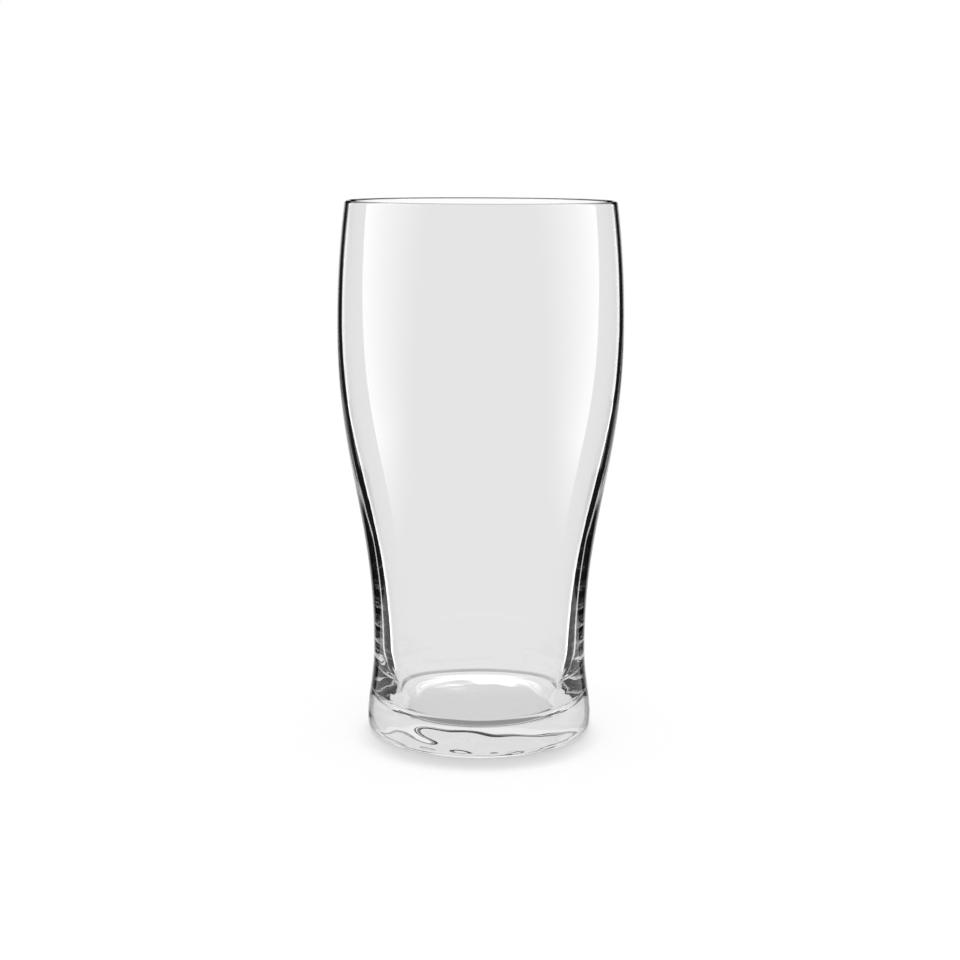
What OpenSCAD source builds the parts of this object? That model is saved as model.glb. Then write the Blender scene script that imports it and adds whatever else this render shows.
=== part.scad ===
// Tulip pint glass: a heavy foot, a swelling bowl and a rounded rim, all turned about the Z axis.
// The glass stands on z = 0 and opens upwards. All sizes are in millimetres.

/* [Overall] */
// Height from the table to the top of the rim
glass_h = 157; // [145:1:175]

/* [Bowl] */
// Outer diameter at the belly, the widest part of the glass
belly_d = 83.4; // [78:0.2:95]
// Height of the belly above the table
belly_z = 119.5; // [100:0.5:130]
// Outer diameter at the waist, the narrowest part of the glass
waist_d = 63.4; // [58:0.2:68]
// Height of the waist above the table
waist_z = 26.5; // [20:0.5:36]
// Wall thickness at the belly
belly_wall = 1.4; // [1:0.1:2.4]
// Wall thickness at the waist
waist_wall = 4.8; // [3:0.1:6.5]

/* [Rim] */
// Outer diameter of the mouth
mouth_d = 78.4; // [70:0.2:83]
// Wall thickness at the mouth
rim_wall = 1.5; // [1:0.1:2.4]
// Height of the rim above the bowl
rim_h = 3; // [2:0.5:8]
// Height of the rounded lip at the top of the rim
lip_h = 0.8; // [0.5:0.1:1.8]

/* [Foot] */
// Height of the foot, up to the ring where the bowl starts
foot_h = 12; // [12:0.2:16]
// Widest diameter of the foot
foot_d = 67.2; // [64:0.2:74]
// Height of the widest part of the foot above the table
foot_z = 4; // [3:0.1:6]
// Radius of the rounded heel
heel_r = 2; // [0.6:0.1:3]
// Diameter of the shallow hollow under the foot
hollow_d = 50; // [36:1:55]
// Depth of the hollow at its middle
hollow_depth = 0.9; // [0.3:0.1:1.6]

/* [Floor inside] */
// Height of the floor inside the glass
floor_z = 5.9; // [5:0.1:6.1]
// Inner diameter of the glass at the height of its floor
floor_d = 50; // [46:0.2:52]
// Height of the rounding between the floor and the wall
rounding_h = 5.4; // [3:0.1:5.8]
// Width of that rounding
rounding_w = 7.6; // [3:0.1:10]

/* [Hidden] */
glass_tint = [0.86, 0.89, 0.89, 0.45];
bottom_tint = [0.78, 0.82, 0.82, 0.6];

// Pieces in the outline of each stretch of the bowl, and in each small rounding
bowl_steps = 28;
small_steps = 8;
$fn = 128;

// Share of the fuller of two easing curves in the swell from the waist to the belly
swell_share = 0.5;
// Power by which the wall thickens from the belly down to the waist
wall_power = 1.3;
// Power that holds back the flare from the waist down to the foot
flare_power = 1.35;

foot_r = foot_d / 2;
waist_r = waist_d / 2;
belly_r = belly_d / 2;
mouth_r = mouth_d / 2;
rim_z = glass_h - rim_h;
contact_r = foot_r - heel_r;

// Steps from 0 to 1
function steps(count) = [for (i = [0 : count]) i / count];

// Value at a share of the way from one value to another
function between(low, high, part) = low + (high - low) * part;

// Share of the way that a height lies from one height to another
function share(z, low, high) = (z - low) / (high - low);

// Share of the swell reached at a share of the height from waist to belly, level at both ends
function gentle(u) = u * u * (3 - 2 * u);
function fuller(u) = u * u * u * (10 - 15 * u + 6 * u * u);
function swell(u) = between(gentle(u), fuller(u), swell_share);

// Share of the flare reached at a share of the height from the waist down to the widest part of the foot
function flare(u) = gentle(pow(u, flare_power));

// Outer radius of the glass at a height above the widest part of the foot
function outer_r(z) =
    z < waist_z ? between(waist_r, foot_r, flare(share(z, waist_z, foot_z))) :
    z < belly_z ? between(waist_r, belly_r, swell(share(z, waist_z, belly_z))) :
    between(belly_r, mouth_r, pow(share(z, belly_z, glass_h), 2));

// Wall thickness at a height above the waist
function wall(z) =
    z < belly_z ? between(belly_wall, waist_wall, pow(share(z, belly_z, waist_z), wall_power)) :
    between(belly_wall, rim_wall, pow(share(z, belly_z, glass_h), 2));

// Inner radius at a height: below the waist a curve carries on smoothly from the wall above to the floor
inner_waist_r = waist_r - waist_wall;
inner_lean = wall_power * (waist_wall - belly_wall) / (belly_z - waist_z);
inner_drop = inner_lean * (waist_z - floor_z);
function below_waist(u) = inner_waist_r - inner_drop * u
    + (floor_d / 2 - inner_waist_r + inner_drop) * u * u;
function inner_r(z) =
    z < waist_z ? below_waist(share(z, waist_z, floor_z)) : outer_r(z) - wall(z);

// Points of the outer and inner side of the wall between two heights
function heights(low, high, count) = [for (u = steps(count)) between(low, high, u)];
function outer_side(low, high, count) = [for (z = heights(low, high, count)) [outer_r(z), z]];
function inner_side(low, high, count) = [for (z = heights(low, high, count)) [inner_r(z), z]];

// Points of an arc, or of an ellipse with two radii
function arc(centre, r_across, r_up, from, to, count) =
    [for (u = steps(count)) let (a = between(from, to, u)) centre + [r_across * cos(a), r_up * sin(a)]];

function reversed(points) = [for (i = [len(points) - 1 : -1 : 0]) points[i]];

// Rounding between the floor and the wall: it ends where it runs smoothly into the leaning wall
rounding_slope = (inner_r(floor_z + rounding_h) - inner_r(floor_z)) / rounding_h;
rounding_end = atan(rounding_slope * rounding_h / rounding_w);
rounding_top_z = floor_z + rounding_h - rounding_h * sin(rounding_end);
rounding_centre = [inner_r(rounding_top_z) - rounding_w * cos(rounding_end), floor_z + rounding_h];
rounding = arc(rounding_centre, rounding_w, rounding_h, -rounding_end, -90, small_steps);

// Hollow under the foot: an arc of the sphere that meets the ring at its edge and its depth at the middle
hollow_r = hollow_d / 2;
hollow_sphere_r = (hollow_r * hollow_r + hollow_depth * hollow_depth) / (2 * hollow_depth);
hollow_angle = asin(hollow_r / hollow_sphere_r);
hollow_centre = [0, hollow_depth - hollow_sphere_r];
hollow = arc(hollow_centre, hollow_sphere_r, hollow_sphere_r, 90, 90 - hollow_angle, small_steps);

heel = arc([contact_r, heel_r], heel_r, heel_r, -90, 0, small_steps);

// Lip: half an ellipse as wide as the wall is thick, slanted to follow the wall's lean at the mouth
lip_z = glass_h - lip_h;
lip_centre = [(outer_r(lip_z) + inner_r(lip_z)) / 2, lip_z];
lip_half_w = (outer_r(lip_z) - inner_r(lip_z)) / 2;
lip_slope = 2 * (belly_r - mouth_r) / (glass_h - belly_z);
upright_lip = arc(lip_centre, lip_half_w, lip_h, 0, 180, 2 * small_steps);
lip = [for (p = upright_lip) p - [lip_slope * (p[1] - lip_z), 0]];

module foot() {
    color(bottom_tint)
        rotate_extrude()
            polygon(concat(
                hollow,
                heel,
                outer_side(foot_z, foot_h, small_steps),
                reversed(inner_side(rounding_top_z, foot_h, small_steps)),
                rounding,
                [[0, floor_z]]));
}

module bowl() {
    color(glass_tint)
        rotate_extrude()
            polygon(concat(
                outer_side(foot_h, waist_z, small_steps),
                outer_side(waist_z, belly_z, bowl_steps),
                outer_side(belly_z, rim_z, small_steps),
                reversed(inner_side(belly_z, rim_z, small_steps)),
                reversed(inner_side(waist_z, belly_z, bowl_steps)),
                reversed(inner_side(foot_h, waist_z, small_steps))));
}

module rim() {
    color(glass_tint)
        rotate_extrude()
            polygon(concat([[outer_r(rim_z), rim_z]], lip, [[inner_r(rim_z), rim_z]]));
}

foot();
bowl();
rim();
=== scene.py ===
import math

import bpy
from mathutils import Matrix


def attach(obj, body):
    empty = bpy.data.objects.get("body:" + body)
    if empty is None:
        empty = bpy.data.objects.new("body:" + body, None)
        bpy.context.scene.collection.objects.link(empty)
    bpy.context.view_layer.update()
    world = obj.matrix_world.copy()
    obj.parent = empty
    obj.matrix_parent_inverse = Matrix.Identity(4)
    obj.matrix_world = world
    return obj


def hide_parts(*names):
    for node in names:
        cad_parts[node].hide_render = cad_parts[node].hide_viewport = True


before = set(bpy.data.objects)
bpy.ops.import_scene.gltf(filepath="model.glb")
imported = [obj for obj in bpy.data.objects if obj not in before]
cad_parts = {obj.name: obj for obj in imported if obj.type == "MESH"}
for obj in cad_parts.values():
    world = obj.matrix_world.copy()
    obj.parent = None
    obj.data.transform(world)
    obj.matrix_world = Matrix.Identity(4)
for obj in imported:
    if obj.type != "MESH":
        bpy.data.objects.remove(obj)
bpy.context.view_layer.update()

# Sizes of the glass in metres, as in the part's source
GLASS_H = 0.157
BELLY_R = 0.0417
BELLY_Z = 0.1195
WAIST_R = 0.0317
WAIST_Z = 0.0265
BELLY_WALL = 0.0014
WAIST_WALL = 0.0048
MOUTH_R = 0.0392
RIM_WALL = 0.0015
RIM_H = 0.003
LIP_H = 0.0008
FOOT_H = 0.012
FOOT_R = 0.0336
FOOT_Z = 0.004
HEEL_R = 0.002
HOLLOW_R = 0.025
HOLLOW_DEPTH = 0.0009
FLOOR_Z = 0.0059
FLOOR_R = 0.025
ROUNDING_H = 0.0054
ROUNDING_W = 0.0076
SWELL_SHARE = 0.5
WALL_POWER = 1.3
FLARE_POWER = 1.35

# Heights and radii that follow from these sizes
RIM_Z = GLASS_H - RIM_H
LIP_Z = GLASS_H - LIP_H
INNER_WAIST_R = WAIST_R - WAIST_WALL

# How finely the glass is turned, and how near the axis a point counts as on it
TURNS = 192
BOWL_STEPS = 100
SHORT_STEPS = 14
LONG_STEPS = 2 * SHORT_STEPS
RIM_STEPS = 4
ON_AXIS = 1e-7

# Unevenness of the pressed foot: waves with a heading in degrees, a length in metres and a phase in radians
WAVES = ((0, 0.022, 0.3), (50, 0.018, 2.4), (120, 0.021, 5.4), (10, 0.009, 1.0))
WAVE_H = 0.0001
WAVE_EDGE_POWER = 8

# Faint ripple of the blown wall: waves per metre along X, Y and Z, and their height in metres
RIPPLES = (60, 60, 160)
RIPPLE_H = 0.000012
GLASS_IOR = 1.52

# Camera: distance from the axis, height, tilt down, roll and nearest view, and lens and sensor in millimetres
CAMERA_DISTANCE = 0.4993
CAMERA_HEIGHT = 0.16905
CAMERA_TILT = math.radians(10.65)
CAMERA_ROLL = math.radians(0.25)
CAMERA_NEAR = 0.01
CAMERA_LENS = 64.27
CAMERA_SENSOR = 36

# How far rays are followed inside the glass
MOST_BOUNCES = 32
MOST_GLOSSY_BOUNCES = 24


# Outlines of the glass, as points with a radius and a height
def between(low, high, part):
    return low + (high - low) * part


def share(z, low, high):
    return (z - low) / (high - low)


def steps(count):
    return [i / count for i in range(count + 1)]


def gentle(u):
    return u * u * (3 - 2 * u)


def swell(u):
    fuller = u ** 3 * (10 - 15 * u + 6 * u * u)
    return between(gentle(u), fuller, SWELL_SHARE)


def outer_r(z):
    if z < WAIST_Z:
        return between(WAIST_R, FOOT_R, gentle(share(z, WAIST_Z, FOOT_Z) ** FLARE_POWER))
    if z < BELLY_Z:
        return between(WAIST_R, BELLY_R, swell(share(z, WAIST_Z, BELLY_Z)))
    return between(BELLY_R, MOUTH_R, share(z, BELLY_Z, GLASS_H) ** 2)


def wall(z):
    if z < BELLY_Z:
        return between(BELLY_WALL, WAIST_WALL, share(z, BELLY_Z, WAIST_Z) ** WALL_POWER)
    return between(BELLY_WALL, RIM_WALL, share(z, BELLY_Z, GLASS_H) ** 2)


def inner_r(z):
    """Inner radius. Below the waist a curve carries on smoothly from the wall above to the floor."""
    if z >= WAIST_Z:
        return outer_r(z) - wall(z)
    lean = WALL_POWER * (WAIST_WALL - BELLY_WALL) / (BELLY_Z - WAIST_Z)
    drop = lean * (WAIST_Z - FLOOR_Z)
    u = share(z, WAIST_Z, FLOOR_Z)
    return INNER_WAIST_R - drop * u + (FLOOR_R - INNER_WAIST_R + drop) * u * u


def side(radius, low, high, count):
    heights = [between(low, high, u) for u in steps(count)]
    return [(radius(z), z) for z in heights]


def arc(centre, across, up, start, end, count):
    angles = [math.radians(between(start, end, u)) for u in steps(count)]
    return [(centre[0] + across * math.cos(a), centre[1] + up * math.sin(a)) for a in angles]


def hollow():
    """Part of a sphere under the foot, from its middle out to its edge."""
    sphere_r = (HOLLOW_R ** 2 + HOLLOW_DEPTH ** 2) / (2 * HOLLOW_DEPTH)
    spread = math.degrees(math.asin(HOLLOW_R / sphere_r))
    return arc((0, HOLLOW_DEPTH - sphere_r), sphere_r, sphere_r, 90, 90 - spread, LONG_STEPS)


def rounding():
    """Rounding from the leaning wall, into which it runs smoothly, down to the floor."""
    slope = (inner_r(FLOOR_Z + ROUNDING_H) - inner_r(FLOOR_Z)) / ROUNDING_H
    lean = math.atan(slope * ROUNDING_H / ROUNDING_W)
    centre_z = FLOOR_Z + ROUNDING_H
    top_z = centre_z - ROUNDING_H * math.sin(lean)
    centre_r = inner_r(top_z) - ROUNDING_W * math.cos(lean)
    return arc((centre_r, centre_z), ROUNDING_W, ROUNDING_H, -math.degrees(lean), -90, LONG_STEPS)


def foot_outline():
    heel = arc((FOOT_R - HEEL_R, HEEL_R), HEEL_R, HEEL_R, -90, 0, SHORT_STEPS)
    outside = hollow() + heel + side(outer_r, FOOT_Z, FOOT_H, SHORT_STEPS)
    curve = rounding()
    curve_top_z = curve[0][1]
    floor_edge_r = curve[-1][0]
    inside = side(inner_r, FOOT_H, curve_top_z, SHORT_STEPS) + curve[1:]
    inside += [(floor_edge_r * u, FLOOR_Z) for u in reversed(steps(LONG_STEPS)[:-1])]
    return [outside, inside]


def bowl_outline():
    outside = side(outer_r, FOOT_H, RIM_Z, BOWL_STEPS)
    inside = side(inner_r, RIM_Z, FOOT_H, BOWL_STEPS)
    return [outside, inside]


def rim_outline():
    """The rim, with half an ellipse on top that is slanted to follow the wall's lean at the mouth."""
    middle = ((outer_r(LIP_Z) + inner_r(LIP_Z)) / 2, LIP_Z)
    half_wall = (outer_r(LIP_Z) - inner_r(LIP_Z)) / 2
    upright_lip = arc(middle, half_wall, LIP_H, 0, 180, LONG_STEPS)
    lean = 2 * (BELLY_R - MOUTH_R) / (GLASS_H - BELLY_Z)
    lip = [(r - lean * (z - LIP_Z), z) for r, z in upright_lip]
    outside = side(outer_r, RIM_Z, LIP_Z, RIM_STEPS)[:-1]
    inside = side(inner_r, LIP_Z, RIM_Z, RIM_STEPS)[1:]
    return [outside + lip + inside]


# Pieces turned from the outlines
def placed(name, data):
    """A new object in the scene."""
    thing = bpy.data.objects.new(name, data)
    bpy.context.scene.collection.objects.link(thing)
    return thing


def ring(r, z):
    """Corners of one ring about the axis, or the one corner that lies on it."""
    if r < ON_AXIS:
        return [(0, 0, z)]
    angles = [2 * math.pi * i / TURNS for i in range(TURNS)]
    return [(r * math.cos(a), r * math.sin(a), z) for a in angles]


def strip(lower, upper):
    """Faces between two rings of corner numbers. A ring on the axis repeats its one corner."""
    faces = []
    for k in range(TURNS):
        following = (k + 1) % TURNS
        corners = (lower[k], lower[following], upper[following], upper[k])
        faces.append(list(dict.fromkeys(corners)))
    return faces


def turned(name, runs, glass, seam):
    """A closed body turned about Z from runs of outline points. Faces from one run to the next are seams."""
    verts = []
    rings = []
    run_ends = []
    for run in runs:
        for r, z in run:
            corners = ring(r, z)
            numbers = list(range(len(verts), len(verts) + len(corners)))
            rings.append(numbers * (TURNS // len(corners)))
            verts += corners
        run_ends.append(len(rings) - 1)

    first_r = runs[0][0][0]
    next_rings = rings[1:] if first_r < ON_AXIS else rings[1:] + rings[:1]
    faces = []
    in_seam = []
    for i, (lower, upper) in enumerate(zip(rings, next_rings)):
        faces += strip(lower, upper)
        in_seam += [i in run_ends] * TURNS

    mesh = bpy.data.meshes.new(name)
    mesh.from_pydata(verts, [], faces)
    mesh.materials.append(glass)
    mesh.materials.append(seam)
    for polygon, is_seam in zip(mesh.polygons, in_seam):
        polygon.material_index = int(is_seam)
        polygon.use_smooth = not is_seam
    mesh.update()
    mark_seam_edges(mesh)
    return placed(name, mesh)


def mark_seam_edges(mesh):
    """Keep the shading of the glass apart from that of the flat seams."""
    kinds = {}
    for polygon in mesh.polygons:
        for key in polygon.edge_keys:
            kinds.setdefault(key, set()).add(polygon.material_index)
    for edge in mesh.edges:
        edge.use_edge_sharp = len(kinds[edge.key]) > 1


def uneven(x, y):
    total = 0.0
    for heading, length, phase in WAVES:
        angle = math.radians(heading)
        along = x * math.cos(angle) + y * math.sin(angle)
        total += math.sin(2 * math.pi * along / length + phase)
    return WAVE_H * total


def press(piece):
    """Make the hollow under the foot slightly uneven, less so at its middle and its edge."""
    for v in piece.data.vertices:
        r = math.hypot(v.co.x, v.co.y)
        if v.co.z <= HOLLOW_DEPTH and r < HOLLOW_R:
            part = r / HOLLOW_R
            strength = gentle(part) * (1 - part ** WAVE_EDGE_POWER)
            v.co.z = max(0.0, v.co.z + uneven(v.co.x, v.co.y) * strength)
    piece.data.update()


# Counts of a ray's passes through surfaces and of its bounces: whole numbers, compared with some slack
COUNT_SLACK = 0.1
ONE_WALL_PASSES = 2
FEW_BOUNCES = 2


class Nodes:
    """Short calls that add nodes to one tree. Each value is a number or a socket of another node."""

    def __init__(self, tree):
        self.tree = tree

    def put(self, socket, value):
        if isinstance(value, bpy.types.NodeSocket):
            self.tree.links.new(value, socket)
        else:
            socket.default_value = value

    def new(self, kind, **inputs):
        """A node with some of its inputs set by name."""
        node = self.tree.nodes.new(kind)
        for name, value in inputs.items():
            self.put(node.inputs[name], value)
        return node

    def fill(self, node, values):
        """The first output of a node with its inputs set in order."""
        for socket, value in zip(node.inputs, values):
            self.put(socket, value)
        return node.outputs[0]

    def path(self):
        return self.new("ShaderNodeLightPath").outputs

    def split(self, vector):
        return self.new("ShaderNodeSeparateXYZ", Vector=vector).outputs

    def place(self):
        return self.split(self.new("ShaderNodeNewGeometry").outputs["Position"])

    def math(self, operation, *values):
        node = self.new("ShaderNodeMath")
        node.operation = operation
        return self.fill(node, values)

    def plus(self, first, second):
        return self.math("ADD", first, second)

    def minus(self, first, second):
        return self.math("SUBTRACT", first, second)

    def times(self, product, *factors):
        for factor in factors:
            product = self.math("MULTIPLY", product, factor)
        return product

    def size(self, value):
        return self.math("ABSOLUTE", value)

    def rest(self, part):
        return self.minus(1.0, part)

    def line(self, value, start, slope):
        return self.math("MULTIPLY_ADD", value, slope, start)

    def some(self, count):
        """1 for any count from 1 up, and 0 for none."""
        return self.math("MINIMUM", count, 1.0)

    def more_than(self, count, number):
        return self.math("GREATER_THAN", count, number + COUNT_SLACK)

    def just(self, count, number):
        return self.math("COMPARE", count, number, COUNT_SLACK)

    def mix(self, part, low, high):
        node = self.new("ShaderNodeMix")
        for socket, value in zip((node.inputs[0], node.inputs[2], node.inputs[3]), (part, low, high)):
            self.put(socket, value)
        return node.outputs[0]

    def ramp(self, value, span, start=0.0, end=1.0, smooth=True):
        """Go from start to end while the value goes through the span."""
        node = self.new("ShaderNodeMapRange")
        node.interpolation_type = "SMOOTHSTEP" if smooth else "LINEAR"
        names = ("Value", "From Min", "From Max", "To Min", "To Max")
        for name, number in zip(names, (value, *span, start, end)):
            self.put(node.inputs[name], number)
        return node.outputs[0]

    def fade(self, value, span):
        return self.ramp(value, span, 1.0, 0.0)

    def openness(self, reach, samples, **inputs):
        """How little of the glass stands near the shaded point."""
        node = self.new("ShaderNodeAmbientOcclusion", Distance=reach, **inputs)
        node.samples = samples
        return node.outputs["AO"]

    def emission(self, strength):
        return self.new("ShaderNodeEmission", Strength=strength).outputs[0]

    def clear(self):
        return self.new("ShaderNodeBsdfTransparent").outputs[0]

    def both(self, first, second):
        return self.fill(self.new("ShaderNodeAddShader"), (first, second))

    def either(self, part, first, second):
        return self.fill(self.new("ShaderNodeMixShader"), (part, first, second))

    def surface(self, shader):
        self.put(self.tree.nodes["Material Output"].inputs["Surface"], shader)


# Materials of the glass, and an empty one from which the others start
def clear_glass():
    material = bpy.data.materials.new("clear_glass")
    material.use_nodes = True
    n = Nodes(material.node_tree)
    where = n.new("ShaderNodeTexCoord").outputs["Object"]
    stretched = n.new("ShaderNodeMapping", Vector=where, Scale=RIPPLES).outputs[0]
    noise = n.new("ShaderNodeTexNoise", Vector=stretched, Scale=1.0, Detail=1.0).outputs["Fac"]
    ripple = n.new("ShaderNodeBump", Distance=RIPPLE_H, Height=noise).outputs[0]
    shader = material.node_tree.nodes["Principled BSDF"]
    n.put(shader.inputs["Normal"], ripple)
    shader.inputs["Base Color"].default_value = (1, 1, 1, 1)
    shader.inputs["Roughness"].default_value = 0.0
    shader.inputs["IOR"].default_value = GLASS_IOR
    shader.inputs["Transmission Weight"].default_value = 1.0
    return material


def open_seam():
    """Nothing to see on the flat faces where two pieces meet."""
    material = bpy.data.materials.new("open_seam")
    material.use_nodes = True
    shader = material.node_tree.nodes["Principled BSDF"]
    shader.inputs["Alpha"].default_value = 0.0
    return material


def bare_material(name):
    """A material without a shader, and its nodes."""
    material = bpy.data.materials.new(name)
    material.use_nodes = True
    tree = material.node_tree
    tree.nodes.remove(tree.nodes["Principled BSDF"])
    return material, Nodes(tree)


# Studio seen in the glass, with its lights as shares of full white
GREY = 0.753
DARK = 0.01
SEEN_THROUGH = 0.79
# Pairs say where a change starts and ends, in degrees up from the level or aside of +Y
ABOVE = (8, 14)

# Mirrored in the outside: a dark card on each side, wider and softer low down. The two join at their top.
CARD_FROM = (13, 21)
CARD_TO = (30, 33)
CARD_WIDER = 0.6
CARD_SOFT = (-8, -11.5)
CARD_SOFTER = 15
CARD_LESS_SOFT = (-14, -17)
CARD_LESS_SOFTER = 8
TOP_CARD = (4, 9)
TOP_CARD_TO = (14, 20)
LOW_CARD = (-16, -20)
LOW_CARD_WIDER = 16


def mirrored_light(n, up, aside):
    joined = n.ramp(up, TOP_CARD, 0.0, CARD_FROM[1])
    softer = n.ramp(up, CARD_SOFT, 0.0, CARD_SOFTER)
    softer = n.minus(softer, n.ramp(up, CARD_LESS_SOFT, 0.0, CARD_LESS_SOFTER))
    full = n.plus(softer, CARD_FROM[1])
    card = n.ramp(n.plus(aside, joined), (CARD_FROM[0], full))
    wider = n.times(n.math("MINIMUM", up, 0.0), CARD_WIDER)
    low = n.ramp(up, LOW_CARD, 0.0, LOW_CARD_WIDER)
    shown = n.minus(n.plus(aside, wider), low)
    card = n.times(card, n.fade(shown, CARD_TO), n.fade(up, TOP_CARD_TO))
    return n.mix(card, GREY, DARK)


# Seen straight through one wall, or through more: darker steeply below
ONE_WALL = 1.0
ONE_WALL_STEEP = (-24, -36)
LIP_DARK = 0.4
STEEP = (-40, -46)
STEEP_DARK = 0.4


def straight_light(n, up, passes):
    one_wall = n.ramp(up, ONE_WALL_STEEP, ONE_WALL, LIP_DARK)
    more_walls = n.ramp(up, STEEP, SEEN_THROUGH, STEEP_DARK)
    return n.mix(n.more_than(passes, ONE_WALL_PASSES), one_wall, more_walls)


# Seen after one bounce inside the wall: the dark card with a light edge and a gap, and a paler card under it
WALL_LOW = (-17.5, -22.5)
WALL_LOW_WIDER = 13
DEEP = (-12, -16)
EDGE_LIGHT = 1.0
EDGE_WIDTH = 9
EDGE_UP = (5, 0)
EDGE_LOW = (-34, -28)
GAP_AT = 31.5
GAP_WIDTH = 2.2
GAP_BELOW = (-20.5, -22)
BELOW_CARD = (-31, -34)
UNDER = (-40, -46)
UNDER_CARD = 0.27


def once_in_wall(n, up, aside):
    shown = n.minus(aside, n.ramp(up, WALL_LOW, 0.0, WALL_LOW_WIDER))
    edge = n.ramp(shown, (CARD_TO[1], CARD_TO[1] + EDGE_WIDTH), EDGE_LIGHT, 0.0)
    edge = n.times(edge, n.ramp(up, EDGE_UP), n.ramp(up, EDGE_LOW))
    around = n.mix(n.math("LESS_THAN", shown, CARD_TO[0]), n.plus(edge, GREY), GREY)
    gap = n.fade(n.size(n.minus(aside, GAP_AT)), (0.0, GAP_WIDTH))
    gap = n.times(gap, n.ramp(up, GAP_BELOW))
    opened = n.math("MAXIMUM", n.ramp(up, ABOVE), gap)
    deep = n.plus(aside, n.ramp(up, DEEP, 0.0, CARD_FROM[1]))
    card = n.times(n.ramp(deep, CARD_FROM), n.fade(shown, CARD_TO), n.rest(opened))
    light = n.mix(card, around, DARK)
    below = n.times(n.ramp(up, BELOW_CARD), n.fade(aside, CARD_TO))
    light = n.mix(below, light, GREY)
    return n.mix(n.ramp(up, UNDER), light, UNDER_CARD)


# Seen after two bounces inside the wall
TWICE = 0.86

# Seen after more: grey from a low edge, raised at the sides, up to a high one, and a dark card on each side
OFTEN_ASIDE = (42, 50)
OFTEN_RAISED = 8
OFTEN_TOP = (58, 68)
SIDE_FROM = (72, 84)
SIDE_TO = (112, 116)
SIDE_TOP = (22, 26)


def often_in_wall(n, up, aside):
    raised = n.minus(up, n.ramp(aside, OFTEN_ASIDE, 0.0, OFTEN_RAISED))
    side_card = n.times(n.ramp(aside, SIDE_FROM), n.fade(aside, SIDE_TO), n.fade(up, SIDE_TOP))
    grey = n.times(n.ramp(raised, ABOVE), n.fade(up, OFTEN_TOP), n.rest(side_card))
    return n.mix(grey, DARK, GREY)


def in_wall_light(n, up, aside, bounces):
    light = n.mix(n.more_than(bounces, 1), once_in_wall(n, up, aside), TWICE)
    return n.mix(n.more_than(bounces, FEW_BOUNCES), light, often_in_wall(n, up, aside))


# Seen after bounces inside the bowl, few or many
BRIGHT_FROM = (36, 46)
BRIGHT_ABOVE = 1.2
FOUND_FROM = (15, 25)
LOST = 0.15


def in_bowl_light(n, up, bounces):
    few = n.ramp(up, BRIGHT_FROM, GREY, BRIGHT_ABOVE)
    many = n.ramp(up, FOUND_FROM, LOST, SEEN_THROUGH)
    return n.mix(n.more_than(bounces, FEW_BOUNCES), few, many)


def studio():
    """A white world. Rays that met the glass but not the floor see a studio, sorted by what they met."""
    world = bpy.data.worlds.new("studio")
    world.use_nodes = True
    bpy.context.scene.world = world
    n = Nodes(world.node_tree)
    path = n.path()
    passes = path["Transmission Depth"]
    bounces = path["Glossy Depth"]
    x, y, z = n.split(n.new("ShaderNodeTexCoord").outputs["Generated"])
    up = n.math("DEGREES", n.math("ARCSINE", z))
    aside = n.math("DEGREES", n.size(n.math("ARCTAN2", x, y)))

    bounced = n.mix(n.some(passes), mirrored_light(n, up, aside), in_wall_light(n, up, aside, bounces))
    bounced = n.mix(n.more_than(passes, ONE_WALL_PASSES), bounced, in_bowl_light(n, up, bounces))
    seen = n.mix(n.some(bounces), straight_light(n, up, passes), bounced)
    off_floor = n.rest(n.some(path["Diffuse Depth"]))
    in_glass = n.times(n.some(n.plus(passes, bounces)), off_floor)
    background = world.node_tree.nodes["Background"]
    background.inputs["Color"].default_value = (1, 1, 1, 1)
    n.put(background.inputs["Strength"], n.mix(in_glass, 1.0, seen))


# Light panels that stand beside the glass, narrow downwards and are seen only mirrored in its outside
PANEL_ASIDE = 0.12
PANEL_BOTTOM = 0.014
PANEL_TOP = 0.3
# Each upright edge has a place along Y at the floor, and a change of that place with height
PANEL_BACK = (-0.0232, 0.207)
PANEL_FRONT = (-0.091, -0.36)
# Soft back edge as a share of the width, heights between which the light comes up, and its strength
PANEL_EDGE_SHARE = 0.02
PANEL_FADE = (0.014, 0.06)
PANEL_LIGHT = 3.0


def panel_material():
    material, n = bare_material("light_panel")
    material.cycles.emission_sampling = "NONE"
    path = n.path()
    place = n.place()
    back = n.line(place["Z"], *PANEL_BACK)
    front = n.line(place["Z"], *PANEL_FRONT)
    across = n.math("DIVIDE", n.minus(back, place["Y"]), n.minus(back, front))
    light = n.ramp(across, (PANEL_EDGE_SHARE, 1.0), PANEL_LIGHT, 0.0)
    light = n.times(light, n.ramp(across, (0.0, PANEL_EDGE_SHARE)))
    light = n.times(light, n.ramp(place["Z"], PANEL_FADE, smooth=False))
    mirrored = n.times(path["Is Glossy Ray"], n.just(path["Transmission Depth"], 0))
    n.surface(n.both(n.emission(n.times(mirrored, light)), n.clear()))
    return material


def panels():
    material = panel_material()
    ends = [start + slope * PANEL_TOP for start, slope in (PANEL_FRONT, PANEL_BACK)]
    for name, x in (("left_panel", -PANEL_ASIDE), ("right_panel", PANEL_ASIDE)):
        corners = [(x, y, z) for z in (PANEL_BOTTOM, PANEL_TOP) for y in ends]
        mesh = bpy.data.meshes.new(name)
        mesh.from_pydata(corners, [], [(0, 1, 3, 2)])
        mesh.materials.append(material)
        placed(name, mesh)


# Floor: a diffuse white that is made up to full white for the camera, with a soft shadow round the foot
FLOOR_RADIUS = 0.4
FLOOR_CORNERS = 96
FLOOR_BELOW = 0.0002
FLOOR_WHITE = 0.3
FLOOR_SEEN = 1.03
# Painted shadow: occlusion reach, samples and tilt, the openness over which it fades, and its darkest share
SHADOW_REACH = 0.013
SHADOW_SAMPLES = 16
SHADOW_TILT = math.radians(70)
SHADOW_OPEN = (0.45, 0.86)
SHADOW_DARK = 0.70


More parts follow.
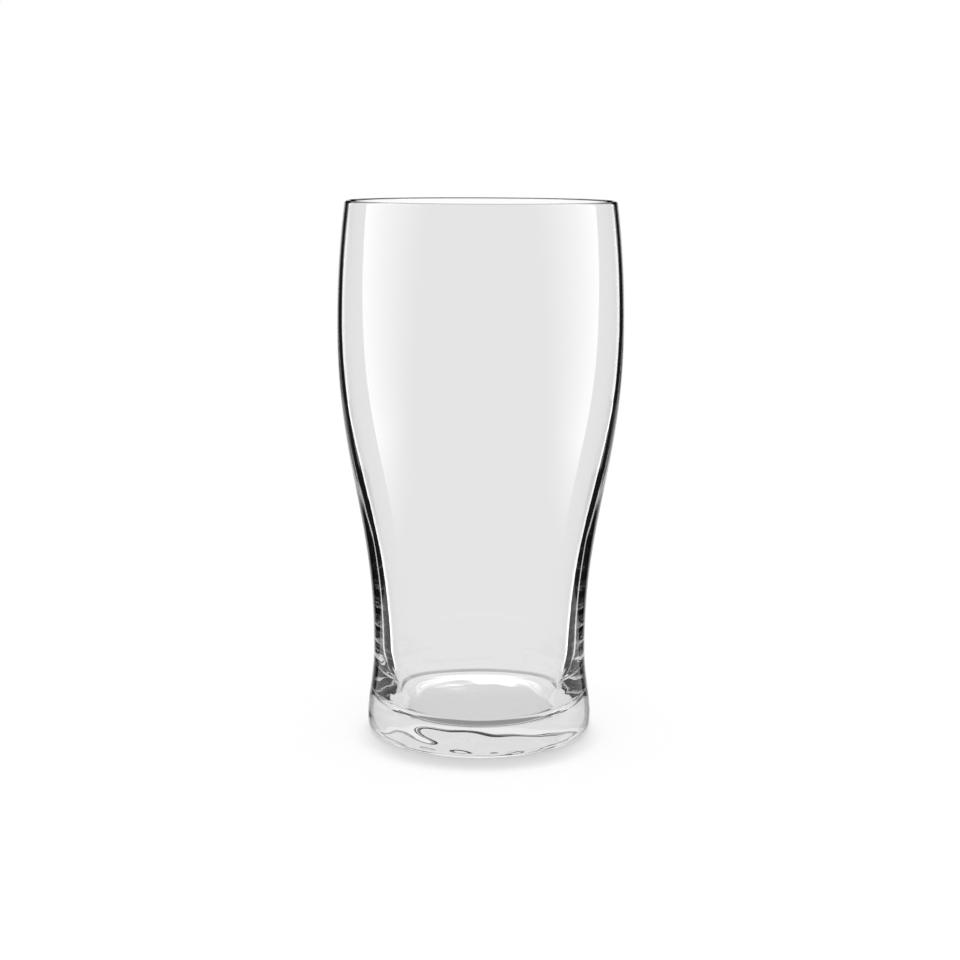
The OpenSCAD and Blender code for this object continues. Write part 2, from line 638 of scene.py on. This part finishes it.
def lit_floor(n, path):
    """The floor as the camera sees it. Its painted shadow, from occlusion about a normal tilted to +Y,
    reaches forward.
    """
    tilt = n.new("ShaderNodeCombineXYZ", Y=math.sin(SHADOW_TILT), Z=math.cos(SHADOW_TILT)).outputs[0]
    painted_shadow = n.ramp(n.openness(SHADOW_REACH, SHADOW_SAMPLES, Normal=tilt), SHADOW_OPEN, SHADOW_DARK, 1.0)
    diffuse = n.new("ShaderNodeBsdfDiffuse", Color=n.times(painted_shadow, FLOOR_WHITE)).outputs[0]
    made_up = n.times(path["Is Camera Ray"], painted_shadow, FLOOR_SEEN - FLOOR_WHITE)
    return n.both(diffuse, n.emission(made_up))


# Painted shadow under the foot: grey glow on the floor near the glass, for rays that come straight through
# the glass
UNDER_FOOT_SHADE = 0.64
UNDER_REACH = 0.004
UNDER_SAMPLES = 8
UNDER_OPEN = (0.2, 0.5)


def painted_shade_under_foot(n, bounces):
    """Straight rays see a painted grey shadow near the glass; other rays through the glass see the studio
    instead of the floor.
    """
    near = n.fade(n.openness(UNDER_REACH, UNDER_SAMPLES), UNDER_OPEN)
    grey = n.times(n.just(bounces, 0), near)
    return n.either(grey, n.clear(), n.emission(UNDER_FOOT_SHADE))


# Painted dark patch and light streaks on the floor beside and behind the glass, for rays that bounced once
# inside the wall
DARK_BESIDE = (0.05, 0.054)
# Its half width: a start and a slope, and a part that grows with the root of the distance behind the axis
DARK_SIDE = (0.0338, 0.2204)
DARK_SIDE_ROOT = 0.2336
# Its outer edge, and the light beyond that, in shares of the half width
DARK_SOFT = 0.003
DARK_EDGE_LIGHT = (0.04, 0.16)
# Light streak in it on each side: a start and a slope with a limit, and a width that grows further behind
STREAK = (0.035, 0.613)
STREAK_MOST = 0.106
STREAK_WIDENS = (0.12, 0.2)
STREAK_WIDTH = (0.006, 0.014)
STREAK_LIGHT = 1.0


def painted_dark_patch(n, sideways, back):
    behind = n.math("MAXIMUM", back, 0.0)
    half_width = n.math("MULTIPLY_ADD", n.math("SQRT", behind), DARK_SIDE_ROOT, n.line(behind, *DARK_SIDE))
    past_edge = n.minus(n.math("DIVIDE", sideways, half_width), 1.0)
    edge_light = n.ramp(past_edge, DARK_EDGE_LIGHT, GREY + EDGE_LIGHT, GREY)
    streak = n.math("MINIMUM", n.line(behind, *STREAK), STREAK_MOST)
    streak_width = n.ramp(behind, STREAK_WIDENS, *STREAK_WIDTH)
    off_streak = n.size(n.minus(sideways, streak))
    patch = n.ramp(off_streak, (0.0, streak_width), STREAK_LIGHT, DARK)
    return n.emission(n.mix(n.ramp(past_edge, (-DARK_SOFT, DARK_SOFT)), patch, edge_light))


# Painted light line on the floor on each side behind the glass, with a start and a slope, for rays mirrored
# in the outside
LINE = (0.2, -0.17)
LINE_WIDTH = 0.02
LINE_FROM = (0.17, 0.2)
LINE_LIGHT = 1.1


def on_line(n, sideways, back):
    off_line = n.size(n.minus(sideways, n.line(back, *LINE)))
    return n.times(n.fade(off_line, (0.0, LINE_WIDTH)), n.ramp(back, LINE_FROM))


def floor_material():
    """What the floor shows depends on whether a ray met the glass, and how."""
    material, n = bare_material("pale_floor")
    path = n.path()
    passes = path["Transmission Depth"]
    bounces = path["Glossy Depth"]
    place = n.place()
    sideways = n.size(place["X"])
    back = place["Y"]

    # Rays through the glass see a painted shadow under the foot, a painted dark patch and a painted light
    # line
    once = n.times(n.just(bounces, 1), n.just(passes, ONE_WALL_PASSES))
    once = n.times(once, n.ramp(sideways, DARK_BESIDE))
    seen = n.either(once, painted_shade_under_foot(n, bounces), painted_dark_patch(n, sideways, back))
    mirrored = n.times(n.just(passes, 0), on_line(n, sideways, back))
    seen = n.either(mirrored, seen, n.emission(LINE_LIGHT))
    in_glass = n.some(n.plus(passes, bounces))
    n.surface(n.either(in_glass, lit_floor(n, path), seen))
    return material


def floor():
    bpy.ops.mesh.primitive_circle_add(
        vertices=FLOOR_CORNERS, radius=FLOOR_RADIUS, fill_type="NGON", location=(0, 0, -FLOOR_BELOW))
    disc = bpy.context.object
    disc.name = "floor"
    disc.data.materials.append(floor_material())


def camera():
    data = bpy.data.cameras.new("camera")
    data.lens = CAMERA_LENS
    data.sensor_width = CAMERA_SENSOR
    data.clip_start = CAMERA_NEAR
    eye = placed("camera", data)
    tilt = Matrix.Rotation(math.pi / 2 - CAMERA_TILT, 4, "X")
    roll = Matrix.Rotation(CAMERA_ROLL, 4, "Z")
    eye.matrix_world = Matrix.Translation((0, -CAMERA_DISTANCE, CAMERA_HEIGHT)) @ tilt @ roll
    bpy.context.scene.camera = eye


camera()
studio()
panels()
floor()
glass = clear_glass()
seam = open_seam()
for node, outline in (("foot", foot_outline()), ("bowl", bowl_outline()), ("rim", rim_outline())):
    piece = turned(node + "_glass", outline, glass, seam)
    if node == "foot":
        press(piece)
    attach(piece, "root")
    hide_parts(node)

scene = bpy.context.scene
scene.view_settings.view_transform = "Standard"
scene.cycles.max_bounces = MOST_BOUNCES
scene.cycles.transmission_bounces = MOST_BOUNCES
scene.cycles.transparent_max_bounces = MOST_BOUNCES
scene.cycles.glossy_bounces = MOST_GLOSSY_BOUNCES
